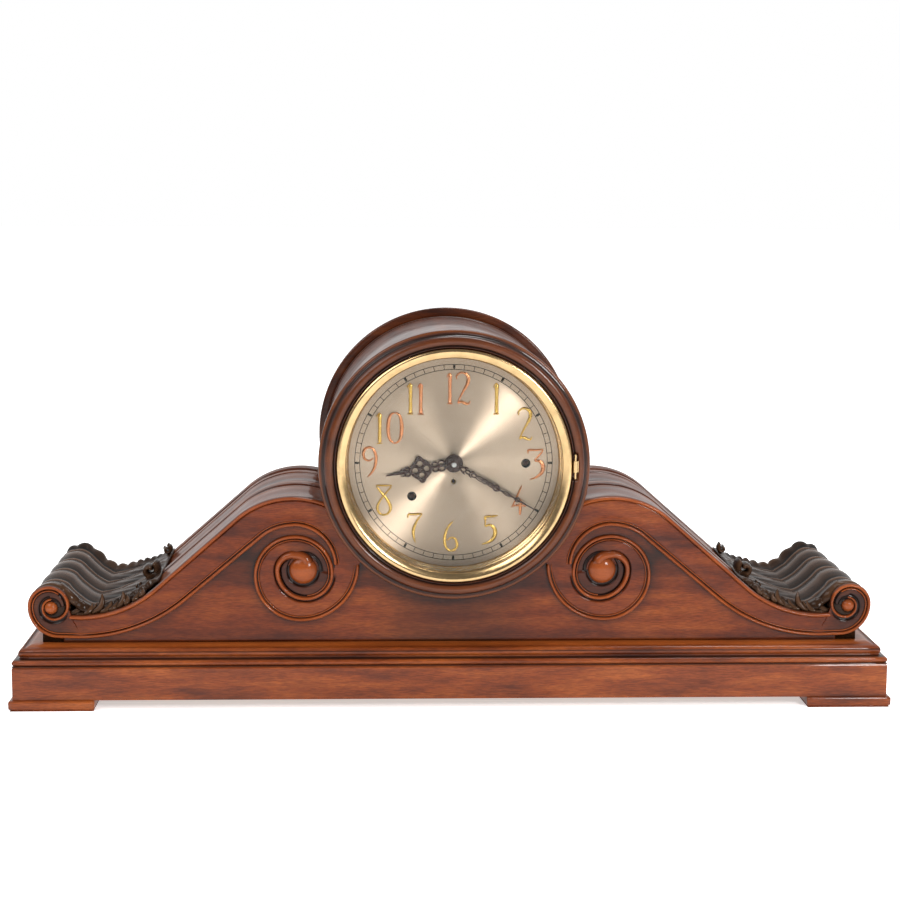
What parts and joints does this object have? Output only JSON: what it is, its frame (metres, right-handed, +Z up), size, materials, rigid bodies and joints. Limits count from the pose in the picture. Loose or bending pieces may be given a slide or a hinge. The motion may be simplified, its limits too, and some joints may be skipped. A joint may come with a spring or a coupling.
{
  "type": "mantel clock",
  "caption": "Tambour mantel clock with a drum on carved scroll shoulders, a hinged glazed bezel, a silvered dial, and a spring-driven striking pendulum movement.",
  "frame": {"origin": "on the floor under the middle of the case", "axes": "+Z up, -Y out of the dial, +X to the right seen from the front"},
  "size_m": [0.7604, 0.2264, 0.3316],
  "materials": {
    "mahogany": "semi-gloss lacquer over figured grain",
    "carved_mahogany": "lacquered carving, dark in its hollows and worn on its beads",
    "ebonised_wood": "dark stained carving, semi-gloss",
    "plain_wood": "plain softwood, unfinished",
    "silvered_brass": "silvered and finely brushed in circles",
    "gilt": "gilt, bright",
    "polished_brass": "polished and lacquered, slightly tarnished",
    "movement_brass": "satin",
    "steel": "satin",
    "dark_steel": "dark bronzed",
    "cast_iron": "rough cast",
    "clear_glass": "clear, polished"
  },
  "bodies": {
    "case": {"plinth_front": "mahogany", "plinth_back": "mahogany", "plinth_ends": "mahogany", "base_moulding": "mahogany", "front_board": "mahogany", "back_board": "mahogany", "shoulder_right": "mahogany", "shoulder_left": "mahogany", "drum_shell": "mahogany", "drum_front_ring": "mahogany", "drum_back_ring": "mahogany", "corner_feet": "mahogany", "scroll_carvings": "carved_mahogany", "end_roll_right": "ebonised_wood", "end_roll_left": "ebonised_wood", "acanthus_leaves": "ebonised_wood", "corner_blocks": "plain_wood", "base_floor": "plain_wood", "dial_board": "plain_wood", "dial_plate": "silvered_brass", "dial_numerals": "gilt", "dial_sight_ring": "polished_brass", "bezel_hinge_leaf": "polished_brass", "door_hinge_fixed": "polished_brass", "movement_front_plate": "movement_brass", "movement_back_plate": "movement_brass", "suspension_cock": "movement_brass", "plate_pillars": "steel", "plate_nuts": "steel", "gong_rods": "steel", "gong_base": "cast_iron"},
    "bezel": {"bezel_ring": "polished_brass", "bezel_glass": "clear_glass", "bezel_retainer": "polished_brass"},
    "rear_door": {"back_door": "mahogany", "door_knob": "polished_brass", "door_hinge_leaf": "polished_brass"},
    "minute_train": {"centre_arbor": "steel", "centre_wheel": "movement_brass", "minute_hand": "dark_steel", "hand_nut": "dark_steel"},
    "hour_train": {"hour_wheel": "movement_brass", "hour_hand": "dark_steel"},
    "motion_wheel": {"minute_wheel": "movement_brass"},
    "third_train": {"third_wheel": "movement_brass"},
    "escape_train": {"escape_wheel": "movement_brass"},
    "time_spring_barrel": {"time_barrel": "movement_brass"},
    "anchor": {"pallets": "steel"},
    "pendulum": {"pendulum_rod": "steel", "pendulum_bob": "polished_brass"},
    "time_winder": {"time_winding_arbor": "steel"},
    "strike_winder": {"strike_winding_arbor": "steel"},
    "time_pawl": {"time_click": "steel"},
    "strike_pawl": {"strike_click": "steel"},
    "strike_spring_barrel": {"strike_barrel": "movement_brass"},
    "pin_train": {"pin_wheel": "movement_brass"},
    "air_brake": {"fly": "steel"},
    "hammer": {"strike_hammer": "steel"},
    "regulator": {"regulator_arbor": "steel"}
  },
  "joints": [
    {"name": "bezel_hinge", "type": "hinge", "parent": "case", "child": "bezel", "pos_m": [0.1026, -0.1112, 0.2111], "axis": [0, 0, 1], "range_deg": [0, 110]},
    {"name": "rear_door_hinge", "type": "hinge", "parent": "case", "child": "rear_door", "pos_m": [0.105, 0.1069, 0.2111], "axis": [0, 0, -1], "range_deg": [0, 110]},
    {"name": "minute_spin", "type": "hinge", "parent": "case", "child": "minute_train", "pos_m": [0, -0.089, 0.2111], "axis": [0, 1, 0], "continuous": true},
    {"name": "hour_spin", "type": "hinge", "parent": "case", "child": "hour_train", "pos_m": [0, -0.089, 0.2111], "axis": [0, 1, 0], "continuous": true},
    {"name": "motion_spin", "type": "hinge", "parent": "case", "child": "motion_wheel", "pos_m": [0, -0.088, 0.2281], "axis": [0, 1, 0], "continuous": true},
    {"name": "third_spin", "type": "hinge", "parent": "case", "child": "third_train", "pos_m": [0.01199, -0.058, 0.23044], "axis": [0, 1, 0], "continuous": true},
    {"name": "escape_spin", "type": "hinge", "parent": "case", "child": "escape_train", "pos_m": [0, -0.066, 0.24703], "axis": [0, 1, 0], "continuous": true},
    {"name": "time_barrel_spin", "type": "hinge", "parent": "case", "child": "time_spring_barrel", "pos_m": [-0.0358, -0.0745, 0.1822], "axis": [0, 1, 0], "continuous": true},
    {"name": "pendulum_swing", "type": "hinge", "parent": "case", "child": "pendulum", "pos_m": [0, -0.034, 0.26103], "axis": [0, 1, 0], "range_deg": [-4, 4]},
    {"name": "anchor_swing", "type": "hinge", "parent": "case", "child": "anchor", "pos_m": [0, -0.066, 0.26103], "axis": [0, 1, 0], "range_deg": [-4, 4]},
    {"name": "time_winding", "type": "hinge", "parent": "case", "child": "time_winder", "pos_m": [-0.0358, -0.081, 0.1822], "axis": [0, 1, 0], "continuous": true},
    {"name": "strike_winding", "type": "hinge", "parent": "case", "child": "strike_winder", "pos_m": [0.0621, -0.081, 0.2107], "axis": [0, 1, 0], "continuous": true},
    {"name": "time_click_lift", "type": "hinge", "parent": "case", "child": "time_pawl", "pos_m": [-0.0433, -0.041, 0.19519], "axis": [0, -1, 0], "range_deg": [0, 12]},
    {"name": "strike_click_lift", "type": "hinge", "parent": "case", "child": "strike_pawl", "pos_m": [0.0546, -0.041, 0.22369], "axis": [0, -1, 0], "range_deg": [0, 12]},
    {"name": "strike_barrel_spin", "type": "hinge", "parent": "case", "child": "strike_spring_barrel", "pos_m": [0.0621, -0.0745, 0.2107], "axis": [0, 1, 0], "continuous": true},
    {"name": "pin_wheel_spin", "type": "hinge", "parent": "case", "child": "pin_train", "pos_m": [0.04004, -0.054, 0.18], "axis": [0, 1, 0], "continuous": true},
    {"name": "fly_spin", "type": "hinge", "parent": "case", "child": "air_brake", "pos_m": [0.02213, -0.07, 0.19208], "axis": [0, 1, 0], "continuous": true},
    {"name": "hammer_lift", "type": "hinge", "parent": "case", "child": "hammer", "pos_m": [0.058, -0.04, 0.1611], "axis": [0, 1, 0], "range_deg": [0, 14]},
    {"name": "regulator_turn", "type": "hinge", "parent": "case", "child": "regulator", "pos_m": [0, -0.089, 0.1948], "axis": [0, 1, 0], "range_deg": [-160, 160]}
  ],
  "couplings": [
    {"joint": "hour_spin", "follows": "minute_spin", "ratio": 0.083333},
    {"joint": "motion_spin", "follows": "minute_spin", "ratio": -0.33333},
    {"joint": "third_spin", "follows": "minute_spin", "ratio": -12},
    {"joint": "escape_spin", "follows": "minute_spin", "ratio": 144},
    {"joint": "time_barrel_spin", "follows": "minute_spin", "ratio": -0.2},
    {"joint": "anchor_swing", "follows": "pendulum_swing", "ratio": 1},
    {"joint": "pin_wheel_spin", "follows": "strike_barrel_spin", "ratio": -6},
    {"joint": "fly_spin", "follows": "strike_barrel_spin", "ratio": 48}
  ]
}
